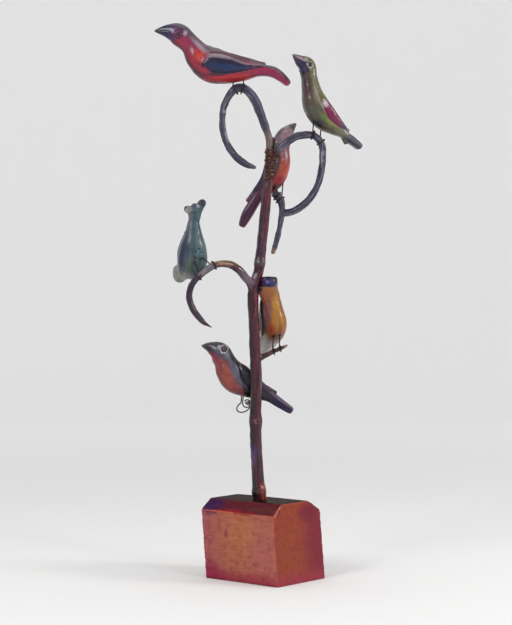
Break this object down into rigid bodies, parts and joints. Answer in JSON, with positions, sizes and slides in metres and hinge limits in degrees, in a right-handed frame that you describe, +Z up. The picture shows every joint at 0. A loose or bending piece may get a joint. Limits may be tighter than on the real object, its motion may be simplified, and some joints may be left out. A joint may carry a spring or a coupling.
{
  "type": "folk bird tree carving",
  "caption": "Folk carving of small painted wooden birds perched on a branching twig that stands in a chamfered block.",
  "frame": {"origin": "middle of the block's underside, on the surface the tree stands on", "axes": "+Z up the tree, X along the block's long side, Y across it; seen as in the picture from azimuth 40 degrees"},
  "size_m": [0.1677, 0.1637, 0.5799],
  "materials": {
    "block_paint": "worn red-brown paint over wood, varnished",
    "trunk_paint": "dark maroon paint over bark, varnished",
    "twig_paint": "purple-black paint over bark, varnished",
    "binding_wire": "orange-brown wire under old varnish",
    "leg_wire": "dark oxidised iron wire",
    "red_and_black_paint": "aged gloss paint, red with black wings",
    "green_paint": "aged gloss paint, olive green with a magenta wing",
    "rose_paint": "aged gloss paint, rose red with a grey head",
    "teal_paint": "aged gloss paint, grey teal",
    "yellow_paint": "aged gloss paint, ochre yellow with a blue face",
    "robin_paint": "aged gloss paint, grey blue with an orange-red breast"
  },
  "bodies": {
    "root": {"block": "block_paint", "tree_trunk": "trunk_paint", "top_loop_branch": "twig_paint", "right_loop_branch": "twig_paint", "branch_binding": "binding_wire", "bird_red_and_black": "red_and_black_paint", "leg_red_and_black_near": "leg_wire", "leg_red_and_black_far": "leg_wire", "bird_green": "green_paint", "leg_green_near": "leg_wire", "leg_green_far": "leg_wire", "bird_rose": "rose_paint", "leg_rose_near": "leg_wire", "leg_rose_far": "leg_wire", "bird_teal": "teal_paint", "leg_teal_near": "leg_wire", "leg_teal_far": "leg_wire", "bird_yellow": "yellow_paint", "leg_yellow_near": "leg_wire", "leg_yellow_far": "leg_wire", "bird_robin": "robin_paint", "leg_robin_near": "leg_wire", "leg_robin_far": "leg_wire"}
  },
  "joints": []
}
